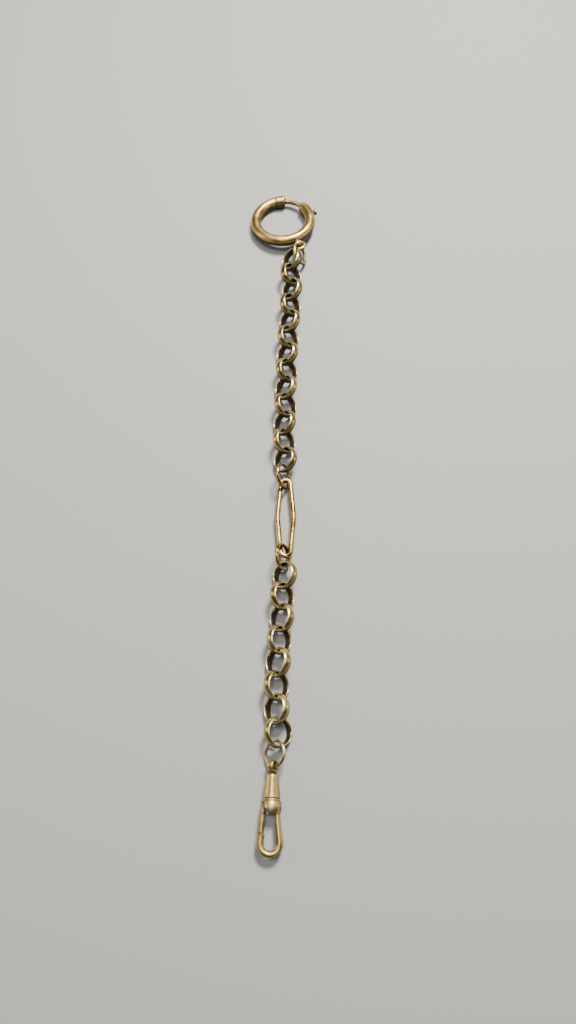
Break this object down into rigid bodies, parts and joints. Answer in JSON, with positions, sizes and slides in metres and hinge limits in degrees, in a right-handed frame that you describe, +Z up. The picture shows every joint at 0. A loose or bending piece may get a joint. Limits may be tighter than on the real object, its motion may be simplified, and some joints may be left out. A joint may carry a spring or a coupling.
{
  "type": "pocket watch chain",
  "caption": "Short belcher-link chain in aged brass with a bolt ring at one end, an open long link part way and a sprung swivel clip at the other end.",
  "frame": {"origin": "centre of the bounding box in plan, on the table the chain lies on", "axes": "+Y along the chain towards the bolt ring, +Z up from the table, +X to the right seen from the swivel clip"},
  "size_m": [0.0226, 0.2094, 0.0073],
  "materials": {
    "aged_brass": "aged, softly polished",
    "pale_brass": "paler, polished",
    "spring_steel": "dull"
  },
  "bodies": {
    "long_link": {"long_link": "aged_brass"},
    "upper_connector": {"upper_connector": "aged_brass"},
    "upper_link_13": {"upper_link_13": "aged_brass"},
    "upper_link_12": {"upper_link_12": "aged_brass"},
    "upper_link_11": {"upper_link_11": "aged_brass"},
    "upper_link_10": {"upper_link_10": "aged_brass"},
    "upper_link_09": {"upper_link_09": "aged_brass"},
    "upper_link_08": {"upper_link_08": "aged_brass"},
    "upper_link_07": {"upper_link_07": "aged_brass"},
    "upper_link_06": {"upper_link_06": "aged_brass"},
    "upper_link_05": {"upper_link_05": "aged_brass"},
    "upper_link_04": {"upper_link_04": "aged_brass"},
    "upper_link_03": {"upper_link_03": "aged_brass"},
    "upper_link_02": {"upper_link_02": "aged_brass"},
    "upper_link_01": {"upper_link_01": "aged_brass"},
    "first_ring": {"first_ring": "pale_brass"},
    "bolt_ring": {"bolt_ring_tube": "aged_brass", "bolt_ring_eye": "pale_brass", "bolt_spring": "spring_steel"},
    "bolt": {"bolt": "pale_brass", "thumb_stud": "aged_brass"},
    "lower_connector": {"lower_connector": "aged_brass"},
    "lower_link_01": {"lower_link_01": "aged_brass"},
    "lower_link_02": {"lower_link_02": "aged_brass"},
    "lower_link_03": {"lower_link_03": "aged_brass"},
    "lower_link_04": {"lower_link_04": "aged_brass"},
    "lower_link_05": {"lower_link_05": "aged_brass"},
    "lower_link_06": {"lower_link_06": "aged_brass"},
    "lower_link_07": {"lower_link_07": "aged_brass"},
    "lower_link_08": {"lower_link_08": "aged_brass"},
    "swivel_ring": {"swivel_ring": "pale_brass"},
    "swivel_eye": {"swivel_eye": "aged_brass"},
    "barrel": {"barrel": "aged_brass", "collar": "aged_brass", "hook": "aged_brass", "gate_pin": "spring_steel", "gate_spring": "spring_steel"},
    "gate": {"gate": "aged_brass"}
  },
  "joints": [
    {"name": "upper_connector_swing", "type": "hinge", "parent": "long_link", "child": "upper_connector", "pos_m": [0.00337, -0.00254, 0.00359], "axis": [-0.8829, 0, -0.4695], "range_deg": [-35, 35]},
    {"name": "upper_link_13_swing", "type": "hinge", "parent": "upper_connector", "child": "upper_link_13", "pos_m": [0.0037, 0.00288, 0.0033], "axis": [-0.6691, 0, 0.7431], "range_deg": [-60, 60]},
    {"name": "upper_link_12_swing", "type": "hinge", "parent": "upper_link_13", "child": "upper_link_12", "pos_m": [0.0031, 0.00894, 0.0034], "axis": [0.7071, 0, 0.7071], "range_deg": [-60, 60]},
    {"name": "upper_link_11_swing", "type": "hinge", "parent": "upper_link_12", "child": "upper_link_11", "pos_m": [0.0031, 0.0151, 0.0034], "axis": [0.7071, 0, -0.7071], "range_deg": [-60, 60]},
    {"name": "upper_link_10_swing", "type": "hinge", "parent": "upper_link_11", "child": "upper_link_10", "pos_m": [0.0031, 0.02125, 0.0034], "axis": [-0.7071, 0, -0.7071], "range_deg": [-60, 60]},
    {"name": "upper_link_09_swing", "type": "hinge", "parent": "upper_link_10", "child": "upper_link_09", "pos_m": [0.0031, 0.0274, 0.0034], "axis": [-0.7071, 0, 0.7071], "range_deg": [-60, 60]},
    {"name": "upper_link_08_swing", "type": "hinge", "parent": "upper_link_09", "child": "upper_link_08", "pos_m": [0.0031, 0.03355, 0.0034], "axis": [0.7071, 0, 0.7071], "range_deg": [-60, 60]},
    {"name": "upper_link_07_swing", "type": "hinge", "parent": "upper_link_08", "child": "upper_link_07", "pos_m": [0.0031, 0.0397, 0.0034], "axis": [-0.7071, 0, 0.7071], "range_deg": [-60, 60]},
    {"name": "upper_link_06_swing", "type": "hinge", "parent": "upper_link_07", "child": "upper_link_06", "pos_m": [0.0031, 0.04585, 0.0034], "axis": [0.7071, 0, 0.7071], "range_deg": [-60, 60]},
    {"name": "upper_link_05_swing", "type": "hinge", "parent": "upper_link_06", "child": "upper_link_05", "pos_m": [0.00345, 0.052, 0.0034], "axis": [0.7071, 0, -0.7071], "range_deg": [-60, 60]},
    {"name": "upper_link_04_swing", "type": "hinge", "parent": "upper_link_05", "child": "upper_link_04", "pos_m": [0.00337, 0.05824, 0.0034], "axis": [-0.7071, 0, -0.7071], "range_deg": [-60, 60]},
    {"name": "upper_link_03_swing", "type": "hinge", "parent": "upper_link_04", "child": "upper_link_03", "pos_m": [0.00383, 0.06434, 0.0034], "axis": [0.7071, 0, -0.7071], "range_deg": [-60, 60]},
    {"name": "upper_link_02_swing", "type": "hinge", "parent": "upper_link_03", "child": "upper_link_02", "pos_m": [0.00321, 0.07032, 0.0034], "axis": [0.7071, 0, 0.7071], "range_deg": [-60, 60]},
    {"name": "upper_link_01_swing", "type": "hinge", "parent": "upper_link_02", "child": "upper_link_01", "pos_m": [0.0034, 0.07651, 0.0034], "axis": [0.7071, 0, -0.7071], "range_deg": [-60, 30]},
    {"name": "first_ring_swing", "type": "hinge", "parent": "upper_link_01", "child": "first_ring", "pos_m": [0.00595, 0.07869, 0.00392], "axis": [-0.8452, -0.0089, -0.5344], "range_deg": [-4, 60]},
    {"name": "bolt_ring_swing", "type": "hinge", "parent": "first_ring", "child": "bolt_ring", "pos_m": [0.00593, 0.08218, 0.00388], "axis": [0.0522, -0.0804, -0.9954], "range_deg": [-15, 45]},
    {"name": "bolt_slide", "type": "hinge", "parent": "bolt_ring", "child": "bolt", "pos_m": [-0.00016, 0.09365, 0.00264], "axis": [0.0522, -0.0804, -0.9954], "range_deg": [0, 44], "stiffness_Nm_per_rad": 0.012, "springref_deg": -20.05, "deforming": ["bolt_spring"]},
    {"name": "lower_connector_swing", "type": "hinge", "parent": "long_link", "child": "lower_connector", "pos_m": [0.00398, -0.02745, 0.00359], "axis": [0.8829, 0, 0.4695], "range_deg": [-35, 35]},
    {"name": "lower_link_01_swing", "type": "hinge", "parent": "lower_connector", "child": "lower_link_01", "pos_m": [0.00481, -0.03279, 0.0034], "axis": [0.7071, 0, -0.7071], "range_deg": [-60, 60]},
    {"name": "lower_link_02_swing", "type": "hinge", "parent": "lower_link_01", "child": "lower_link_02", "pos_m": [0.00422, -0.0388, 0.0034], "axis": [0.7071, 0, 0.7071], "range_deg": [-60, 60]},
    {"name": "lower_link_03_swing", "type": "hinge", "parent": "lower_link_02", "child": "lower_link_03", "pos_m": [0.00439, -0.0449, 0.0034], "axis": [-0.7071, 0, 0.7071], "range_deg": [-60, 60]},
    {"name": "lower_link_04_swing", "type": "hinge", "parent": "lower_link_03", "child": "lower_link_04", "pos_m": [0.00386, -0.05094, 0.0034], "axis": [-0.7071, 0, -0.7071], "range_deg": [-60, 60]},
    {"name": "lower_link_05_swing", "type": "hinge", "parent": "lower_link_04", "child": "lower_link_05", "pos_m": [0.00385, -0.05701, 0.0034], "axis": [-0.7071, 0, 0.7071], "range_deg": [-60, 60]},
    {"name": "lower_link_06_swing", "type": "hinge", "parent": "lower_link_05", "child": "lower_link_06", "pos_m": [0.0036, -0.06307, 0.0034], "axis": [0.7071, 0, 0.7071], "range_deg": [-60, 60]},
    {"name": "lower_link_07_swing", "type": "hinge", "parent": "lower_link_06", "child": "lower_link_07", "pos_m": [0.0039, -0.06913, 0.0034], "axis": [0.7071, 0, -0.7071], "range_deg": [-60, 60]},
    {"name": "lower_link_08_swing", "type": "hinge", "parent": "lower_link_07", "child": "lower_link_08", "pos_m": [0.00447, -0.07492, 0.00309], "axis": [-0.5878, 0, -0.809], "range_deg": [-60, 60]},
    {"name": "swivel_ring_swing", "type": "hinge", "parent": "lower_link_08", "child": "swivel_ring", "pos_m": [0.00381, -0.08013, 0.00283], "axis": [-0.6428, 0, 0.766], "range_deg": [-60, 60]},
    {"name": "swivel_eye_swing", "type": "hinge", "parent": "swivel_ring", "child": "swivel_eye", "pos_m": [0.0034, -0.0832, 0.0026], "axis": [-0.7837, 0, -0.6211], "range_deg": [-60, 60]},
    {"name": "barrel_spin", "type": "hinge", "parent": "swivel_eye", "child": "barrel", "pos_m": [0.0034, -0.08515, 0.0026], "axis": [0, 1, 0], "continuous": true},
    {"name": "gate_open", "type": "hinge", "parent": "barrel", "child": "gate", "pos_m": [0.0023, -0.09275, 0.0026], "axis": [0, 0, 1], "range_deg": [0, 22], "stiffness_Nm_per_rad": 0.004, "springref_deg": -14.32, "deforming": ["gate_spring"]}
  ]
}
